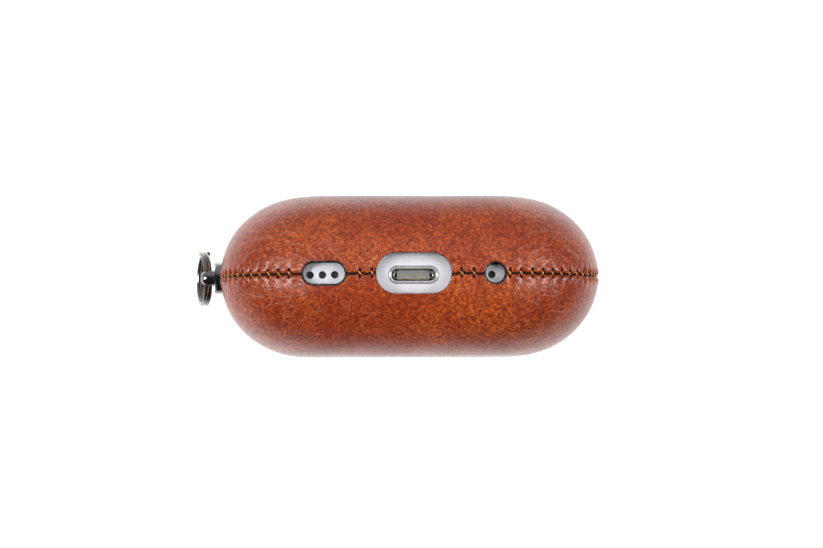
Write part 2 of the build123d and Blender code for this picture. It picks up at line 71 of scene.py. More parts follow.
def add(tree, kind, inputs=None, **settings):
    made = tree.nodes.new("ShaderNode" + kind)
    for key, value in settings.items():
        setattr(made, key, value)
    for key, value in (inputs or {}).items():
        wire(tree, made.inputs[key], value)
    return made


def math1(tree, operation, first, second=0.0, third=0.0):
    return add(tree, "Math", {0: first, 1: second, 2: third}, operation=operation).outputs[0]


def between(tree, value, low, high, start=0.0, end=1.0):   # a smooth step from start to end
    limits = {"Value": value, "From Min": low, "From Max": high, "To Min": start, "To Max": end}
    return add(tree, "MapRange", limits, interpolation_type="SMOOTHSTEP").outputs["Result"]


def product(tree, first, second):
    return math1(tree, "MULTIPLY", first, second)


def scaledSum(tree, value, factor, added):   # value times factor, plus what is added
    return math1(tree, "MULTIPLY_ADD", value, factor, added)


def mix(tree, factor, first, second, blend="MIX"):
    made = add(tree, "Mix", {0: factor, 6: first, 7: second}, data_type="RGBA", blend_type=blend)
    return made.outputs[2]


def spots(tree, vector, scale, detail=3.0, roughness=0.55, distortion=0.0):
    settings = {"Vector": vector, "Scale": scale, "Detail": detail, "Roughness": roughness}
    return add(tree, "TexNoise", {**settings, "Distortion": distortion}).outputs["Fac"]


def netting(tree, vector, *settings):   # low along a net of curving lines
    centred = math1(tree, "SUBTRACT", spots(tree, vector, *settings), 0.5)
    return math1(tree, "ABSOLUTE", centred)


def scaled(tree, vector, by):
    return add(tree, "VectorMath", {0: vector, 1: by}, operation="MULTIPLY").outputs[0]


def newMaterial(name, **sockets):
    made = bpy.data.materials.new(name)
    made.use_nodes = True
    shader = made.node_tree.nodes["Principled BSDF"]
    for key, value in sockets.items():
        shader.inputs[key.replace("_", " ")].default_value = value
    return made, made.node_tree, shader


def newGroup(name, inputs, outputs):
    made = bpy.data.node_groups.new(name, "ShaderNodeTree")
    for key, kind, value in inputs:
        socket = made.interface.new_socket(key, in_out="INPUT", socket_type="NodeSocket" + kind)
        if value is not None:
            socket.default_value = value
    for key, kind in outputs:
        made.interface.new_socket(key, in_out="OUTPUT", socket_type="NodeSocket" + kind)
    return made, made.nodes.new("NodeGroupInput").outputs, made.nodes.new("NodeGroupOutput").inputs


def useGroup(tree, group, inputs):
    made = tree.nodes.new("ShaderNodeGroup")
    made.node_tree = group
    for key, value in inputs.items():
        wire(tree, made.inputs[key], value)
    return made.outputs


def objectSpace(tree):   # Object coordinates in millimetres
    return scaled(tree, add(tree, "TexCoord").outputs["Object"], (1000.0, 1000.0, 1000.0))


# fine handling marks, for plastics and metals
marksInputs = [("Vector", "Vector", None), ("Size", "Float", 1.0),
               ("Amount", "Float", 0.1), ("Base", "Float", 0.3)]
marksOutputs = [("Roughness", "Float"), ("Height", "Float")]
marks, marksIn, marksOut = newGroup("handlingMarks", marksInputs, marksOutputs)
marksPlace = {0: marksIn["Vector"], "Scale": marksIn["Size"]}
marksAt = add(marks, "VectorMath", marksPlace, operation="SCALE").outputs[0]
smudge = spots(marks, marksAt, 0.35, 4.0, 0.6, 0.6)
speckle = spots(marks, marksAt, 5.0, 2.0)
unevenGloss = math1(marks, "ADD", math1(marks, "SUBTRACT", smudge, 0.5), product(marks, speckle, 0.3))
wire(marks, marksOut["Roughness"], scaledSum(marks, unevenGloss, marksIn["Amount"], marksIn["Base"]))
wire(marks, marksOut["Height"], scaledSum(marks, speckle, 0.4, smudge))


def simpleFinish(name, colour, tint, base, amount=0.12, size=1.0, height=0.004, **sockets):   # height in mm
    made, tree, shader = newMaterial(name, **sockets)
    where = objectSpace(tree)
    used = useGroup(tree, marks, {"Vector": where, "Size": size, "Amount": amount, "Base": base})
    tone = between(tree, spots(tree, where, 0.6 * size, 4.0), 0.3, 0.7)
    wire(tree, shader.inputs["Base Color"], mix(tree, tone, screen(*colour), screen(*tint)))
    wire(tree, shader.inputs["Roughness"], used["Roughness"])
    bump = add(tree, "Bump", {"Height": used["Height"], "Strength": 0.25, "Distance": height * mm})
    wire(tree, shader.inputs["Normal"], bump.outputs[0])
    return made


# leather

leatherLook = {
    "warm": screen(182, 84, 31), "tan": screen(158, 61, 24), "deep": screen(106, 34, 18),
    "plum": screen(72, 19, 20), "bright": screen(190, 102, 48), "pale": screen(214, 150, 128),
    # the near-black colour is painted shade inside the stitch slits and the seam's gap
    "edge": screen(24, 34, 38), "hole": screen(16, 7, 5),
    "roughness": 0.29, "bump": 0.06,
}
leatherNoise = {   # scale, detail, roughness and distortion, on millimetres
    "cloud": (0.10, 3.0, 0.6), "mottle": (1.6, 5.0, 0.64, 0.1), "grain": (3.4, 2.0, 0.6),
    "vein": (1.3, 4.0, 0.60, 0.25), "thinVein": (2.7, 3.0, 0.55, 0.2), "streak": (1.0, 5.0, 0.66, 0.5),
    "faded": (0.7, 2.0), "dimple": (1.5, 1.0, 0.5, 0.4),
}
leatherTint = {   # a noise's two levels, and how much of the colour each one gets
    "mottleDeep": (0.42, 0.60, 0.0, 0.66), "mottleBright": (0.47, 0.36, 0.0, 0.14),
    "vein": (0.07, 0.0, 0.0, 0.74), "thinVein": (0.05, 0.0, 0.0, 0.40), "grain": (0.54, 0.68, 0.0, 0.16),
    "streakPlum": (0.48, 0.60, 0.0, 0.42), "streakPale": (0.46, 0.34, 0.0, 0.16),
    "crackle": 0.55, "crease": 0.44,
}
leatherRelief = {"pores": 0.22, "dimple": 0.75, "crackle": -0.30, "crease": -0.40, "streak": 0.35}


def makeLeather():
    made, tree, shader = newMaterial("cognacLeather", Specular_IOR_Level=0.5)
    where = objectSpace(tree)
    contour = add(tree, "Attribute", attribute_name="contour").outputs["Vector"]
    masks = [add(tree, "Attribute", attribute_name=key) for key in ("worn", "crease", "edge", "hole", "away")]
    worn, crease, edge, hole, away = (mask.outputs["Fac"] for mask in masks)

    def tinted(base, mask, limits, colour, within=None):
        factor = between(tree, mask, *limits)
        if within:
            factor = product(tree, factor, within)
        return mix(tree, factor, base, leatherLook[colour])

    # broad clouds, then patches, then a net of dark veins with bright grains between
    cloud = spots(tree, where, *leatherNoise["cloud"])
    mottle = spots(tree, where, *leatherNoise["mottle"])
    vein = netting(tree, where, *leatherNoise["vein"])
    thinVein = netting(tree, where, *leatherNoise["thinVein"])
    grain = spots(tree, where, *leatherNoise["grain"])
    base = mix(tree, between(tree, cloud, 0.34, 0.66), leatherLook["warm"], leatherLook["tan"])
    base = tinted(base, mottle, leatherTint["mottleDeep"], "deep")
    base = tinted(base, mottle, leatherTint["mottleBright"], "bright")
    base = tinted(base, vein, leatherTint["vein"], "plum")
    base = tinted(base, thinVein, leatherTint["thinVein"], "plum")
    base = tinted(base, grain, leatherTint["grain"], "bright")
    # streaks that follow the outline, strongest on the rounded sides
    streak = spots(tree, scaled(tree, contour, (0.16, 0.16, 2.3)), *leatherNoise["streak"])
    across = math1(tree, "ABSOLUTE", add(tree, "SeparateXYZ", {0: where}).outputs["X"])
    rounded = product(tree, between(tree, away, 4.0, 12.0), between(tree, away, 23.5, 20.0))
    rounded = product(tree, rounded, between(tree, across, 12.0, 24.0, 0.18, 1.0))
    base = tinted(base, streak, leatherTint["streakPlum"], "plum", rounded)
    base = tinted(base, streak, leatherTint["streakPale"], "pale", rounded)
    # fine crackle inside the creased corners
    bend = add(tree, "TexNoise", {"Vector": where, "Scale": 0.35, "Detail": 3.0}).outputs["Color"]
    bend = scaled(tree, bend, (3.0, 3.0, 3.0))
    bent = add(tree, "VectorMath", {0: where, 1: bend}, operation="ADD").outputs[0]
    crackle = add(tree, "TexVoronoi", {"Vector": bent, "Scale": 1.15}, feature="DISTANCE_TO_EDGE").outputs[0]
    faded = between(tree, spots(tree, where, *leatherNoise["faded"]), 0.40, 0.62)
    crackle = product(tree, between(tree, crackle, 0.05, 0.005), product(tree, faded, worn))
    base = mix(tree, product(tree, crackle, leatherTint["crackle"]), base, leatherLook["plum"])
    base = mix(tree, product(tree, crease, leatherTint["crease"]), base, leatherLook["pale"])
    base = mix(tree, edge, base, leatherLook["edge"])
    # painted shade: near black in the stitch slits and along the seam's gap
    base = mix(tree, hole, base, leatherLook["hole"])
    wire(tree, shader.inputs["Base Color"], base)
    # gloss: duller on the mottling, dull in the stitch holes
    rough = scaledSum(tree, mottle, 0.20, leatherLook["roughness"] - 0.10)
    rough = scaledSum(tree, worn, -0.02, rough)
    wire(tree, shader.inputs["Roughness"], math1(tree, "MAXIMUM", rough, product(tree, hole, 0.9)))
    # relief
    cells = {"Vector": bent, "Scale": 1.9, "Smoothness": 0.6}
    pores = add(tree, "TexVoronoi", cells, feature="SMOOTH_F1").outputs[0]
    dimple = spots(tree, where, *leatherNoise["dimple"])
    relief = scaledSum(tree, pores, leatherRelief["pores"], product(tree, dimple, leatherRelief["dimple"]))
    relief = scaledSum(tree, crackle, leatherRelief["crackle"], relief)
    relief = scaledSum(tree, crease, leatherRelief["crease"], relief)
    relief = scaledSum(tree, streak, product(tree, rounded, leatherRelief["streak"]), relief)
    relief = product(tree, relief, scaledSum(tree, worn, 0.8, 0.8))
    bump = add(tree, "Bump", {"Height": relief, "Strength": 0.6, "Distance": leatherLook["bump"] * mm})
    wire(tree, shader.inputs["Normal"], bump.outputs[0])
    return made


# every finish by its slot: name, two screen colours, roughness, then what differs

leather = makeLeather()
finishes = {
    "leather": leather,
    "cover_liner": simpleFinish("liningRubber", (20, 34, 38), (30, 46, 50), 0.5, Specular_IOR_Level=0.4),
    "thread": simpleFinish("waxedThread", (216, 154, 78), (160, 98, 42), 0.6, size=3.0, height=0.03),
    "white_plastic": simpleFinish("whitePlastic", (212, 211, 216), (204, 203, 209), 0.22, 0.06,
                                  Coat_Weight=0.3, Coat_Roughness=0.1),
    "port_steel": simpleFinish("satinSteel", (214, 212, 210), (196, 194, 192), 0.2, size=2.0, Metallic=0.55),
    "socket_plastic": simpleFinish("greyPlastic", (128, 127, 122), (112, 111, 106), 0.45, size=2.0),
    "gold": simpleFinish("goldPlate", (222, 178, 96), (196, 148, 70), 0.22, Metallic=1.0),
    "board": simpleFinish("boardGreen", (24, 84, 52), (18, 66, 42), 0.35),
    "battery_wrap": simpleFinish("foilWrap", (196, 198, 202), (170, 172, 176), 0.35, Metallic=0.8),
    "copper": simpleFinish("copperWire", (198, 118, 68), (168, 92, 50), 0.3, Metallic=1.0),
    "ferrite": simpleFinish("ferriteSheet", (44, 44, 46), (34, 34, 36), 0.6),
    "magnet_steel": simpleFinish("nickelMagnet", (186, 186, 188), (160, 160, 162), 0.25, Metallic=1.0),
    "mesh": simpleFinish("darkMesh", (52, 52, 54), (34, 34, 36), 0.5, size=4.0, height=0.05),
    "module_black": simpleFinish("blackMoulding", (32, 32, 34), (24, 24, 26), 0.45),
    "clear_plastic": simpleFinish("diffuser", (240, 240, 236), (226, 228, 224), 0.3),
    "dark_chrome": simpleFinish("gunmetal", (186, 184, 186), (156, 152, 152), 0.13, 0.1, Metallic=1.0),
    "ring_steel": simpleFinish("nickelWire", (182, 177, 173), (146, 140, 136), 0.2, 0.12, Metallic=1.0),
    "hinge_steel": simpleFinish("hingeSteel", (196, 196, 198), (172, 172, 176), 0.28, Metallic=1.0),
}
for part in frame["record"]["subparts"]:
    mesh = nodes[part["node"]].data
    mesh.materials.clear()
    mesh.materials.append(finishes[part["material_slot"]])
print("materials ready")


# the cover's form: a rounded outline with an elliptical rim, in millimetres

form = {
    "corner": 20.5,        # outline's corner radius at the seam
    "rim": 15.0,           # how far the rim reaches out from the flat faces
    "leather": 1.6,
    "fineStep": 0.14, "coarseStep": 0.30, "edgeStep": 0.09, "largestStep": 0.75,   # the panels' mesh
    "edgeReach": 1.2, "fineReach": 8.6, "fineBelow": 17.0, "lastGap": 0.9,
    "settle": 0.8,         # how soon the flattening where it stands fades out upwards
}
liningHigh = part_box("body_cover_liner")[1] / mm
shellLow, shellHigh = (Vector(c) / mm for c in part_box("body_shell"))
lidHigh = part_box("lid_shell")[1] / mm
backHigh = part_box("body_cover_back")[1] / mm
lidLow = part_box("lid_cover_back")[0] / mm
hingeLow, hingeHigh = (Vector(c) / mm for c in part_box("hinge_pin"))
hingeY, hingeZ = (hingeLow.y + hingeHigh.y) / 2, (hingeLow.z + hingeHigh.z) / 2
halfWidth = liningHigh.x + form["leather"]
halfDepth = backHigh.y
middleZ = (shellLow.z + lidHigh.z) / 2
halfHeight = (lidHigh.z - shellLow.z) / 2 + halfWidth - shellHigh.x
flatX, flatZ = halfWidth - form["corner"], halfHeight - form["corner"]
core = form["corner"] - form["rim"]
quarter = flatX + form["corner"] * math.pi / 2 + flatZ
baseDrop = middleZ - halfHeight   # how far the full form would reach below the standing plane

rimTable = [0.0]   # length along the rim's ellipse at each half degree
for step in range(180):
    a, b = math.radians(step / 2), math.radians((step + 1) / 2)
    rimTable.append(rimTable[-1] + math.hypot(form["rim"] * (math.cos(b) - math.cos(a)),
                                              halfDepth * (math.sin(b) - math.sin(a))))
rimLength = rimTable[-1]


def rimAngle(v):
    at = min(max(bisect.bisect_right(rimTable, v) - 1, 0), len(rimTable) - 2)
    part = (v - rimTable[at]) / (rimTable[at + 1] - rimTable[at])
    return math.radians((at + min(max(part, 0.0), 1.0)) / 2)


def outline(u):   # point of the flat middle and the direction out, u along the seam from the bottom's middle
    arc = form["corner"] * math.pi / 2
    side = 1 if u >= 0 else -1
    rest = abs(u)
    upper = rest > quarter
    if upper:
        rest = 2 * quarter - rest
    tilt = min(max((rest - flatX) / form["corner"], 0.0), math.pi / 2)
    x = min(rest, flatX)
    z = flatZ - max(rest - flatX - arc, 0.0)
    up = 1 if upper else -1
    return side * x, up * z, side * math.sin(tilt), up * math.cos(tilt)


def surface(u, v, side):   # point and outward direction of the plain form, v away from the seam
    x, z, outX, outZ = outline(u)
    if v < rimLength:
        angle = rimAngle(v)
        reach = core + form["rim"] * math.cos(angle)
        y = halfDepth * math.sin(angle)
        tiltIn, tiltOut = math.cos(angle) / form["rim"], math.sin(angle) / halfDepth
    else:
        reach = core - (v - rimLength)
        y = halfDepth
        tiltIn, tiltOut = 0.0, 1.0
    normal = Vector((outX * tiltIn, side * tiltOut, outZ * tiltIn)).normalized()
    return Vector((x + outX * reach, side * y, middleZ + z + outZ * reach)), normal


def seamPlace(point):   # u of a point near the seam
    x, z = abs(point.x), abs(point.z - middleZ)
    dx, dz = max(x - flatX, 0.0), max(z - flatZ, 0.0)
    along = min(x, flatX) + form["corner"] * math.atan2(dx, dz) + (flatZ - min(z, flatZ) if dz == 0 else 0.0)
    if point.z > middleZ:
        along = 2 * quarter - along
    return math.copysign(along, point.x)


def islands(node):   # middles of a node's separate lumps
    bm = bmesh.new()
    bm.from_mesh(nodes[node].data)
    bmesh.ops.remove_doubles(bm, verts=bm.verts, dist=0.00001)
    left, middles = set(bm.verts), []
    while left:
        heap, lump = [left.pop()], []
        while heap:
            vert = heap.pop()
            lump.append(vert.co.copy())
            for joined in vert.link_edges:
                other = joined.other_vert(vert)
                if other in left:
                    left.discard(other)
                    heap.append(other)
        middles.append(sum(lump, Vector()) / len(lump) / mm)
    bm.free()
    return middles


stitches = {"body": sorted(seamPlace(p) for p in islands("body_stitches")),
            "lid": sorted(seamPlace(p) for p in islands("lid_stitches"))}
allStitches = sorted(stitches["body"] + stitches["lid"])


def nearestStitch(u):
    at = bisect.bisect(allStitches, u)
    near = [allStitches[i] for i in (at - 1, at) if 0 <= i < len(allStitches)]
    return min(near, key=lambda s: abs(s - u))


# openings in the leather: slots by half length and radius, round ones by radius

openings = {
    "port": (6.45, 3.5), "speaker": (3.8, 2.05), "speakerX": 15.3, "microphone": 1.9, "microphoneX": -13.9,
    "flange": 2.84, "window": 1.2, "relief": 5.63,
    "underside": 12.0, "stud": 25.0, "front": -8.0, "back": 5.0,   # where each one's own face begins
    "ragged": 0.05, "notch": 0.7, "notchReach": 0.6, "notchY": 0.4,
}
studZ = (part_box("stud_base")[0].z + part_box("stud_base")[1].z) / 2 / mm
windowZ = (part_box("status_light")[0].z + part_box("status_light")[1].z) / 2 / mm


def slotDistance(x, y, half, radius):
    return radius - math.hypot(max(abs(x) - (half - radius), 0.0), y)


def notched(p):   # small bites out of the leather at the port's two ends
    portEnd = math.exp(-((abs(p.x) - openings["port"][0]) / openings["notchReach"]) ** 2)
    bite = max(0.0, noise.noise(Vector((p.x, p.y * 2.2, 5.3))))
    return openings["notch"] * portEnd * bite * math.exp(-(p.y - openings["notchY"]) ** 2)


def insideCut(p):   # how far a point is inside any opening, below zero on the leather
    worst = -50.0
    if p.z < openings["underside"]:
        worst = max(slotDistance(p.x, p.y, *openings["port"]),
                    slotDistance(p.x - openings["speakerX"], p.y, *openings["speaker"]),
                    openings["microphone"] - math.hypot(p.x - openings["microphoneX"], p.y))
        worst += openings["ragged"] * (noise.noise(p * 2.2) + 0.5 * noise.noise(p * 6.0))
        worst += notched(p)
    if p.x > openings["stud"]:
        worst = max(worst, openings["flange"] - math.hypot(p.y, p.z - studZ))
    if p.y < openings["front"]:
        worst = max(worst, openings["window"] - math.hypot(p.x, p.z - windowZ))
    if p.y > openings["back"]:
        hingeAway = math.hypot(p.y - hingeY, p.z - hingeZ)
        worst = max(worst, min(p.y - hingeY, openings["relief"] - hingeAway))
    return worst


seam = {
    "gap": 0.08, "roll": 0.70, "rollDepth": 0.5, "wall": 1.1, "pitch": 2.07,
    "wander": 0.14, "scallop": 0.20, "swayReach": 1.3,
    "pull": 0.28, "pullAlong": 0.42, "pullAway": 0.75,   # the dip at each stitch
    "puff": 0.13, "puffAlong": 0.6, "puffAway": 0.7,     # the bulge between two stitches
    "slitWidth": 0.23, "slitFrom": 0.10, "slitTo": 0.95, "slitDepth": 0.65, "slitEdge": 3.0,
    "cutRound": 0.22, "cutDrop": 0.10, "uneven": 0.06,
    "gapShadeReach": 0.22, "gapShadeFade": 0.18, "paintReach": 0.09, "paintFade": 0.06,   # painted shade along the seam's gap, then edge paint on the cut edges
    "wear": 1.5, "wearX": 22.5, "wearAcross": 7.5, "wearY": 2.0, "wearDeep": 5.0,   # creased corners
}


def roundedDrop(distance, radius, depth):
    if distance >= radius:
        return 0.0
    return depth * (1 - math.sqrt(max(0.0, 1 - (1 - max(distance, 0.0) / radius) ** 2)))


def bell(distance, width):
    return math.exp(-(distance / width) ** 2)


def shapeOf(u, v, point):   # how far the leather is drawn in, and how much near-black painted shade its stitch slits get
    off = u - nearestStitch(u)
    drop = roundedDrop(v - seam["gap"], seam["roll"], seam["rollDepth"])
    drop += seam["pull"] * bell(off, seam["pullAlong"]) * math.exp(-v / seam["pullAway"])
    fromMiddle = abs(off) - seam["pitch"] / 2
    drop -= seam["puff"] * bell(fromMiddle, seam["puffAlong"]) * bell(v - seam["puffAway"], seam["puffAway"])
    middle, half = (seam["slitFrom"] + seam["slitTo"]) / 2, (seam["slitTo"] - seam["slitFrom"]) / 2
    slit = 1 - (off / seam["slitWidth"]) ** 2 - ((v - middle) / half) ** 2
    hole = min(max(slit * seam["slitEdge"], 0.0), 1.0)
    drop += seam["slitDepth"] * hole
    drop -= seam["uneven"] * (noise.noise(point * 0.16) + 0.4 * noise.noise(point * 0.5))
    return drop, hole


# creases on the underside: arcs round the ends and short straight folds

creases = {
    "corner": 23.5, "arcs": 30, "folds": 34, "width": 0.06, "inner": (3.0, 1.8), "outer": (10.5, 8.2),
    "arcShift": (-2.5, 1.5), "arcY": (-0.6, 0.4), "arcStart": (0.15, 2.6), "arcSweep": (0.15, 0.75),
    "arcStrength": (0.25, 1.0), "arcShake": 0.05, "arcWave": 0.03,
    "foldX": (6.5, 29.0), "foldY": (0.8, 8.5), "foldTurn": (0.2, 2.9), "foldHalf": (0.4, 1.8),
    "foldStrength": (0.2, 0.8), "foldShake": 0.7,
    "seed": (0, 90), "middle": 5.0, "highest": 24.0,
}


def draw(key):
    return random.uniform(*creases[key])


def drawArc(end, side):   # kind, end, side, middle, radii, start, sweep, strength, seed
    size = random.random()
    x, y = end * creases["corner"] + draw("arcShift"), draw("arcY")
    wide, tall = (small + size * (large - small) for small, large in zip(creases["inner"], creases["outer"]))
    start, sweep, strength = draw("arcStart"), draw("arcSweep"), draw("arcStrength")
    return "arc", end, side, x, y, wide, tall, start, sweep, strength, draw("seed")


def drawFold(end, side):   # kind, end, side, middle, direction, half length, nothing, strength, seed
    x, y = end * draw("foldX"), draw("foldY")
    turn, half, strength = draw("foldTurn"), draw("foldHalf"), draw("foldStrength")
    return "fold", end, side, x, y, math.cos(turn), math.sin(turn), half, 0.0, strength, draw("seed")


creaseList = []
for end in (-1, 1):
    for side in (-1, 1):
        creaseList += [drawArc(end, side) for count in range(creases["arcs"])]
        creaseList += [drawFold(end, side) for count in range(creases["folds"])]


def creaseAt(point, side):   # how strongly a crease shows at a place, 0 to 1
    if abs(point.x) < creases["middle"] or point.z > creases["highest"]:
        return 0.0
    x, y = point.x, abs(point.y)
    shake = noise.noise(Vector((x * 0.9, y * 0.9, side * 3.0)))
    best = 0.0
    for kind, end, panel, middleX, middleY, a, b, start, sweep, strength, seed in creaseList:
        if panel != side or end * x < 0:
            continue
        dx, dy = x - middleX, y - middleY
        if kind == "arc":
            wave = math.sin(seed + 6 * math.atan2(dy, dx))
            out = math.hypot(dx / a, dy / b) - 1 - creases["arcShake"] * shake - creases["arcWave"] * wave
            off = abs(out) * (a + b) / 2
            at = (math.atan2(dy / b, dx / a) - start) / sweep
            fade = 1 - (2 * at - 1) ** 2
        else:
            along, off = dx * a + dy * b, abs(dy * a - dx * b + creases["foldShake"] * shake)
            fade = 1 - (along / start) ** 2
        if fade > 0 and off < creases["width"] * 2:
            best = max(best, strength * min(fade * 3, 1.0) * max(0.0, 1 - off / (creases["width"] * 1.5)))
    return best


def panelRows():
    rows = [-1.0, -0.4, seam["gap"]]
    while rows[-1] < form["fineReach"]:
        rows.append(rows[-1] + (form["edgeStep"] if rows[-1] < form["edgeReach"] else form["fineStep"]))
    step = form["fineStep"]
    while rows[-1] < rimLength + core - form["lastGap"]:
        step = min(step * 1.12, form["largestStep"])
        rows.append(rows[-1] + step)
    return rows


def panelColumns():
    columns = [-2 * quarter]
    while columns[-1] < 2 * quarter:
        x, z, outX, outZ = outline(columns[-1])
        low = middleZ + z + outZ * form["corner"] < form["fineBelow"]
        columns.append(columns[-1] + (form["fineStep"] if low else form["coarseStep"]))
    columns[-1] = 2 * quarter
    return columns


def cutAlong(bm, inside):   # splits faces along the outline of a cut and removes what is inside
    value = {vert: inside(vert.co) for vert in bm.verts}
    crossing = []
    for made in list(bm.edges):
        start, end = made.verts
        if (value[start] > 0) != (value[end] > 0):
            newVert = bmesh.utils.edge_split(made, start, value[start] / (value[start] - value[end]))[1]
            value[newVert] = 0.0
            crossing.append(newVert)
    bmesh.ops.connect_verts(bm, verts=crossing)
    gone = []
    for face in bm.faces:
        values = [value[v] for v in face.verts]
        if max(values) > 0 and min(values) >= 0:
            gone.append(face)
    bmesh.ops.delete(bm, geom=gone, context="FACES")


def finishMesh(name, bm, material, body, smoothAngle=35):
    mesh = bpy.data.meshes.new(name)
    bm.to_mesh(mesh)
    bm.free()
    mesh.materials.append(material)
    mesh.shade_smooth()
    mesh.set_sharp_from_angle(angle=math.radians(smoothAngle))
    made = bpy.data.objects.new(name, mesh)
    scene.collection.objects.link(made)
    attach(made, body)
    return made


def panelSheet(bm, rows, columns, side):   # the whole half of the form, its wall towards the seam included
    uLayer, vLayer = bm.verts.layers.float.new("u"), bm.verts.layers.float.new("v")
    bm.verts.layers.float.new("deep")
    bmesh.ops.create_grid(bm, x_segments=len(columns) - 1, y_segments=len(rows) - 1, size=1.0)
    for vert in bm.verts:
        column = round((vert.co.x + 1) / 2 * (len(columns) - 1))
        row = round((vert.co.y + 1) / 2 * (len(rows) - 1))
        u, v = columns[column], rows[row]
        point, normal = surface(u, max(v, seam["gap"]), side)
        vert[uLayer], vert[vLayer] = u, v
        vert.co = point + normal * min(v, 0.0) * seam["wall"]
    bmesh.ops.remove_doubles(bm, verts=bm.verts, dist=0.0005)
    inner = [e for e in bm.edges if e.is_boundary and min(v[vLayer] for v in e.verts) > 1]
    bmesh.ops.holes_fill(bm, edges=inner)


def nearWindow(vert):
    away = math.hypot(vert.co.x, vert.co.z - windowZ)
    return vert.co.y < openings["front"] and away < 2 * openings["window"]


def cutPanel(bm, side, upper, splitPlane):   # the split between lid and body, the openings, and their walls
    vLayer, deepLayer = bm.verts.layers.float["v"], bm.verts.layers.float["deep"]
    bmesh.ops.bisect_plane(bm, geom=bm.verts[:] + bm.edges[:] + bm.faces[:], plane_co=(0, 0, splitPlane),
                           plane_no=(0, 0, -1 if upper else 1), clear_outer=True)
    finer = [e for e in bm.edges if side < 0 and not upper and all(nearWindow(v) for v in e.verts)]
    bmesh.ops.subdivide_edges(bm, edges=finer, cuts=3, use_grid_fill=True)
    cutAlong(bm, insideCut)
    rim = [e for e in bm.edges if e.is_boundary and max(v[vLayer] for v in e.verts) > -0.99]
    walls = bmesh.ops.extrude_edge_only(bm, edges=rim)["geom"]
    for vert in [g for g in walls if isinstance(g, bmesh.types.BMVert)]:
        vert[deepLayer] = form["leather"]


def settled(place):   # flattened where it stands
    place.z -= baseDrop * math.exp(-(place.z - baseDrop) / form["settle"])
    return place


def seamSway(u):
    off = min(abs(u - nearestStitch(u)), seam["pitch"] / 2)
    scallop = seam["scallop"] * math.sin(math.pi * off / seam["pitch"]) ** 2
    return seam["wander"] * noise.noise(Vector((u * 0.7, 3.1, 0))) - scallop


def cornerWear(point):
    across, deep = abs(point.x) - seam["wearX"], abs(point.y) - seam["wearY"]
    return min(1.0, seam["wear"] * (bell(across, seam["wearAcross"]) * bell(deep, seam["wearDeep"])))


def drawIn(bm, side, splitPlane):   # puts every vertex in place and gives it what the leather's look reads
    layers = bm.verts.layers
    layers.float_vector.new("contour")
    for key in ("worn", "edge", "hole", "away", "crease"):
        layers.float.new(key)
    uLayer, vLayer, deepLayer = (layers.float[key] for key in ("u", "v", "deep"))
    contour = layers.float_vector["contour"]
    worn, edge, paintedShade, away, crease = (layers.float[key] for key in ("worn", "edge", "hole", "away", "crease"))
    turn = math.pi / (2 * quarter)
    for vert in bm.verts:
        u, v, deep = vert[uLayer], vert[vLayer], vert[deepLayer]
        point, normal = surface(u, max(v, seam["gap"]), side)
        if v > rimLength:
            point, normal = vert.co.copy(), Vector((0, side, 0))
        drop, hole = shapeOf(u, max(v, 0.0), point)
        cut = -insideCut(point)
        splitGap = abs(point.z - splitPlane)
        margin = min(cut, splitGap)
        drop += roundedDrop(margin, seam["cutRound"], seam["cutDrop"])
        drop -= min(v, 0.0) * seam["wall"]
        below = point.z < 9 and cut < splitGap   # openings below are cut straight up
        inward = Vector((0, 0, -1)) if below else normal
        place = point - normal * drop - inward * deep
        place.y += seamSway(u) * math.exp(-max(v, 0) / seam["swayReach"])
        vert.co = settled(place) * mm
        vert[contour] = (math.cos(u * turn) / turn, math.sin(u * turn) / turn, v)
        painted = min(max((seam["paintReach"] - margin) / seam["paintFade"], 0.0), 1.0)
        vert[edge] = 1.0 if deep else painted
        # painted shade: near black in the stitch slits, fading out along the seam's gap
        vert[paintedShade] = max(hole, min(max((seam["gap"] + seam["gapShadeReach"] - v) / seam["gapShadeFade"], 0.0), 1.0))
        vert[crease] = creaseAt(point, side) if v < form["fineReach"] + 2 else 0.0
        vert[worn] = cornerWear(point)
        vert[away] = v


def leatherPanel(name, side, upper, body, replaced):
    splitPlane = lidLow.z if upper else backHigh.z
    bm = bmesh.new()
    panelSheet(bm, panelRows(), panelColumns(), side)
    cutPanel(bm, side, upper, splitPlane)
    drawIn(bm, side, splitPlane)
    for face in bm.faces:
        face.smooth = True
    bmesh.ops.recalc_face_normals(bm, faces=bm.faces)
    outward = max(bm.faces, key=lambda f: f.calc_center_median().y * side)
    if outward.normal.y * side < 0:
        bmesh.ops.reverse_faces(bm, faces=bm.faces)
    made = finishMesh(name, bm, leather, body, 50)
    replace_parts(made, replaced)
    print(name, len(made.data.vertices))


leatherPanel("bodyLeatherFront", -1, False, "case_body", "body_cover_front")
leatherPanel("bodyLeatherBack", 1, False, "case_body", "body_cover_back")
leatherPanel("lidLeatherFront", -1, True, "lid", "lid_cover_front")
leatherPanel("lidLeatherBack", 1, True, "lid", "lid_cover_back")


# tools for the small pieces

def tube(bm, points, radius, sides=8):   # a closed rod through the points
    loops = []
    for at, point in enumerate(points):
        ahead = points[min(at + 1, len(points) - 1)] - points[max(at - 1, 0)]
        turn = ahead.to_track_quat("Z", "Y").to_matrix().to_4x4()
        place = Matrix.Translation(point) @ turn
        loops.append(bmesh.ops.create_circle(bm, segments=sides, radius=radius, matrix=place)["verts"])
    joinLoops(bm, loops)
    for end in (loops[0], loops[-1]):
        bmesh.ops.contextual_create(bm, geom=end)


def joinLoops(bm, loops):
    for first, second in zip(loops, loops[1:]):
        bmesh.ops.bridge_loops(bm, edges=loopEdges(first) + loopEdges(second))


def loopEdges(ring):
    members = set(ring)
    return list({e for v in ring for e in v.link_edges if e.other_vert(v) in members})


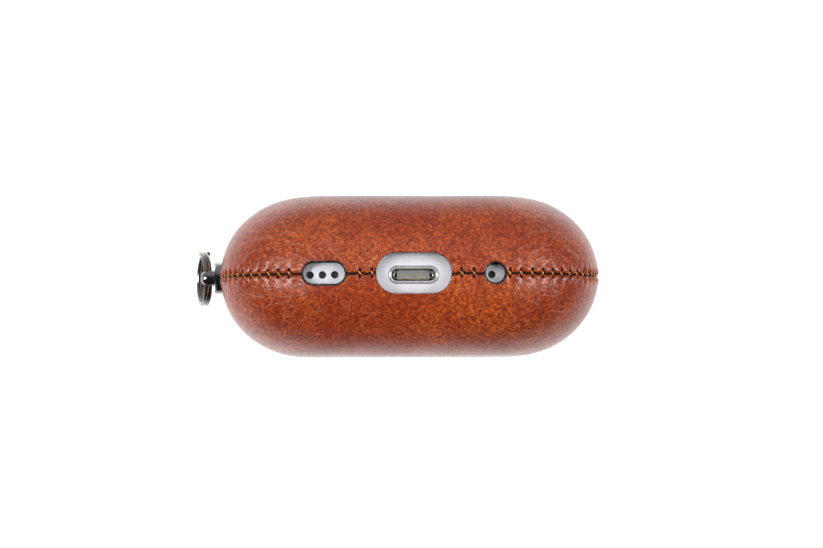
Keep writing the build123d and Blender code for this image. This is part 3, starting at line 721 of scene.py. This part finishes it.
def slotLoop(bm, halfLength, radius, y, z, sides=40):   # a rounded slot lying flat
    turn = Matrix.Rotation(math.pi / sides, 4, "Z")
    ring = bmesh.ops.create_circle(bm, segments=sides, radius=radius, matrix=turn)["verts"]
    for vert in ring:
        vert.co.x += math.copysign(halfLength - radius, vert.co.x)
        vert.co.y += y
        vert.co.z = z
    return ring


def toMetres(bm):
    bmesh.ops.recalc_face_normals(bm, faces=bm.faces)
    bmesh.ops.scale(bm, verts=bm.verts, vec=(mm, mm, mm))


# stitches: two twisted strands that cross the seam a little aslant and dive into the slits

stitch = {
    "strand": 0.095, "lay": 0.08, "turns": 1.3, "slant": 0.22, "reach": 0.33, "depth": 0.62, "top": 0.30,
    "steps": 8, "sides": 6,
}


def stitchLine(u):   # points and outward directions along one stitch, from slit to slit
    slant = stitch["slant"] * random.uniform(0.5, 1.3)
    line = []
    for step in range(stitch["steps"] + 1):
        t = step / stitch["steps"] * 2 - 1
        side = 1 if t > 0 else -1
        point, normal = surface(u + slant * t, max(abs(t) * stitch["reach"], 0.01), side)
        dive = stitch["top"] + (stitch["depth"] - stitch["top"]) * t * t * abs(t)
        line.append((point - normal * dive, normal))
    return line


def threads(name, places, body, replaced):
    bm = bmesh.new()
    for u in places:
        line = stitchLine(u)
        for strand in (0, 1):
            path = []
            for step, (point, normal) in enumerate(line):
                around = math.pi * (2 * stitch["turns"] * step / stitch["steps"] + strand)
                across = normal.cross(Vector((0, 1, 0))).normalized()
                place = point + (across * math.cos(around) + normal * math.sin(around)) * stitch["lay"]
                path.append(settled(place))
            tube(bm, path, stitch["strand"], stitch["sides"])
    toMetres(bm)
    made = finishMesh(name, bm, finishes["thread"], body, 60)
    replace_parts(made, replaced)


threads("bodyThreads", stitches["body"], "case_body", "body_stitches")
threads("lidThreads", stitches["lid"], "lid", "lid_stitches")
print("stitches ready")


# charging port: rolled steel rim, sleeve, grey insert, eight contacts and two side springs

port = {
    "rimHalf": (4.3, 1.5), "openHalf": (3.55, 1.03), "tuck": 0.01,   # half length and radius of each slot
    "skirt": 0.5, "lip": 0.10, "lipRound": 0.15, "lipSteps": 8, "sleeveDepth": 3.2,
    "insert": (2.86, 0.86, 1.35), "insertHeight": 5.0, "insertRaised": 0.06, "insertRound": 0.12,
    "contact": (0.22, 0.20, 1.6), "contacts": 8, "pitch": 0.585, "contactIn": 0.07, "contactZ": 1.95,
    "contactRound": 0.07,
    "springAt": 3.02, "springBow": (0.34, 0.52, 0.25), "springZ": 1.0, "springWire": 0.13,
}
trimLow, trimHigh = (Vector(c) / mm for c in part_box("port_trim"))
portY = (trimLow.y + trimHigh.y) / 2
portZ = trimLow.z


def portRim():
    bm = bmesh.new()
    halfLength, radius = (size - port["tuck"] for size in port["rimHalf"])
    wallThick = port["rimHalf"][1] - port["openHalf"][1]
    loops = [slotLoop(bm, halfLength, radius, portY, portZ + port["skirt"])]
    for step in range(port["lipSteps"] + 1):
        around = math.pi * step / port["lipSteps"]
        back = wallThick * (1 - math.cos(around)) / 2
        lift = port["lipRound"] * math.sin(around)
        loops.append(slotLoop(bm, halfLength - back, radius - back, portY, portZ + port["lip"] - lift))
    loops.append(slotLoop(bm, *port["openHalf"], portY, portZ + port["sleeveDepth"]))
    joinLoops(bm, loops)
    toMetres(bm)
    return finishMesh("portRim", bm, finishes["port_steel"], "case_body", 40)


def roundedBox(bm, size, place, radius):
    made = bmesh.ops.create_cube(bm, size=1.0)["verts"]
    bmesh.ops.scale(bm, verts=made, vec=size)
    bmesh.ops.translate(bm, verts=made, vec=place)
    edges = list({e for v in made for e in v.link_edges})
    bmesh.ops.bevel(bm, geom=edges, offset=radius, offset_type="OFFSET", segments=3, profile=0.5,
                    affect="EDGES", material=-1)


def portInsert():
    bm = bmesh.new()
    halfX, halfY, depth = port["insert"]
    height = port["insertHeight"]
    place = (0, portY + port["insertRaised"], portZ + depth + height / 2)
    roundedBox(bm, (2 * halfX, 2 * halfY, height), place, port["insertRound"])
    toMetres(bm)
    return finishMesh("portInsert", bm, finishes["socket_plastic"], "case_body", 40)


def portContacts():
    bm = bmesh.new()
    y = portY + port["insertRaised"] - port["insert"][1] + port["contactIn"]
    for index in range(port["contacts"]):
        x = (index - (port["contacts"] - 1) / 2) * port["pitch"]
        roundedBox(bm, port["contact"], (x, y, portZ + port["contactZ"]), port["contactRound"])
    toMetres(bm)
    return finishMesh("portContacts", bm, finishes["gold"], "case_body", 40)


def portSprings():   # a bowed wire at each end of the insert
    bm = bmesh.new()
    bowX, bowY, bowZ = port["springBow"]
    for end in (-1, 1):
        path = []
        for degrees in range(-120, 121, 20):
            a = math.radians(degrees)
            x = end * (port["springAt"] + bowX * math.cos(a))
            path.append(Vector((x, portY + bowY * math.sin(a), portZ + port["springZ"] + bowZ * math.cos(a))))
        tube(bm, path, port["springWire"], 8)
    toMetres(bm)
    finishMesh("portSprings", bm, finishes["hinge_steel"], "case_body", 40)


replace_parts(portRim(), "port_trim")
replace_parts(portInsert(), "port_socket")
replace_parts(portContacts(), "port_contacts")
portSprings()
print("charging port ready")


# camera, light and floor

view = {   # millimetres and degrees
    "place": (25.0, -21.5, -600.0), "aim": (0.47, -0.22, 0.0), "roll": -0.2, "lens": 154.8,
}
camera = bpy.data.objects.new("camera", bpy.data.cameras.new("camera"))
scene.collection.objects.link(camera)
camera.data.lens = view["lens"]
camera.data.clip_start, camera.data.clip_end = 0.01, 10.0
camera.location = Vector(view["place"]) * mm
forward = (Vector(view["aim"]) - Vector(view["place"])).normalized()
right = forward.cross(Vector((0, 1, 0))).normalized()
up = right.cross(forward)
angle = math.radians(view["roll"])
right, up = right * math.cos(angle) + up * math.sin(angle), up * math.cos(angle) - right * math.sin(angle)
camera.rotation_mode = "QUATERNION"
turned = [[right[i], up[i], -forward[i]] for i in range(3)]
camera.rotation_quaternion = Matrix(turned).to_quaternion()
scene.camera = camera

lights = {   # place and size in metres, power, whether it shows in reflections
    "leftBox": ((0.44, 0.0, -0.33), (0.22, 0.50), 3.5, True),
    "rightBox": ((-0.44, 0.0, -0.33), (0.22, 0.50), 3.0, True),
    "below": ((0.0, 0.46, -0.88), (0.8, 0.8), 5.2, False),
    "overhead": ((0.0, -0.25, 0.95), (0.9, 0.9), 11.0, False),
    "front": ((0.1, -0.95, 0.25), (0.9, 0.6), 5.0, False),
}
for name, (place, size, power, glossy) in lights.items():
    lamp = bpy.data.lights.new(name, "AREA")
    lamp.shape = "RECTANGLE"
    lamp.size, lamp.size_y, lamp.energy = size[0], size[1], power
    made = bpy.data.objects.new(name, lamp)
    made.location = place
    made.rotation_mode = "QUATERNION"
    made.rotation_quaternion = (-(Vector((0, 0, 0.02)) - Vector(place))).to_track_quat("Z", "Y")
    made.visible_glossy = glossy
    scene.collection.objects.link(made)

# surroundings: dark where they face the underside, brighter upwards, white where the camera sees them
world = bpy.data.worlds.new("studio")
scene.world = world
world.use_nodes = True
sky = world.node_tree
background = sky.nodes["Background"]
seen = add(sky, "LightPath").outputs["Is Camera Ray"]
toward = add(sky, "SeparateXYZ", {0: add(sky, "TexCoord").outputs["Generated"]}).outputs
grey = between(sky, toward["Z"], 0.12, 0.80, 0.02, 1.30)
grey = math1(sky, "MULTIPLY_ADD", between(sky, toward["Y"], 0.2, 0.8), 0.34, grey)
brightness = add(sky, "Mix", {0: seen, 2: grey, 3: 1.2}, data_type="FLOAT").outputs[0]
wire(sky, background.inputs["Strength"], brightness)
background.inputs["Color"].default_value = (0.97, 0.98, 1.0, 1.0)

floorMaterial, floorTree, floorShader = newMaterial("paleFloor", Roughness=0.6)
tone = between(floorTree, spots(floorTree, objectSpace(floorTree), 0.004, 2.0), 0.3, 0.7)
floorColour = mix(floorTree, tone, screen(244, 244, 244), screen(238, 238, 238))
wire(floorTree, floorShader.inputs["Base Color"], floorColour)
backfacing = add(floorTree, "NewGeometry").outputs["Backfacing"]
clear = math1(floorTree, "SUBTRACT", 1.0, backfacing)   # unseen from below
wire(floorTree, floorShader.inputs["Alpha"], clear)
bm = bmesh.new()
bmesh.ops.create_grid(bm, x_segments=1, y_segments=1, size=3.0)
floorMesh = bpy.data.meshes.new("floor")
bm.to_mesh(floorMesh)
bm.free()
floorMesh.materials.append(floorMaterial)
floor = bpy.data.objects.new("floor", floorMesh)
scene.collection.objects.link(floor)
for kind in ("diffuse", "glossy", "transmission", "volume_scatter", "shadow"):
    setattr(floor, "visible_" + kind, False)
scene.view_settings.view_transform = "Standard"
print("camera, lights and floor ready")
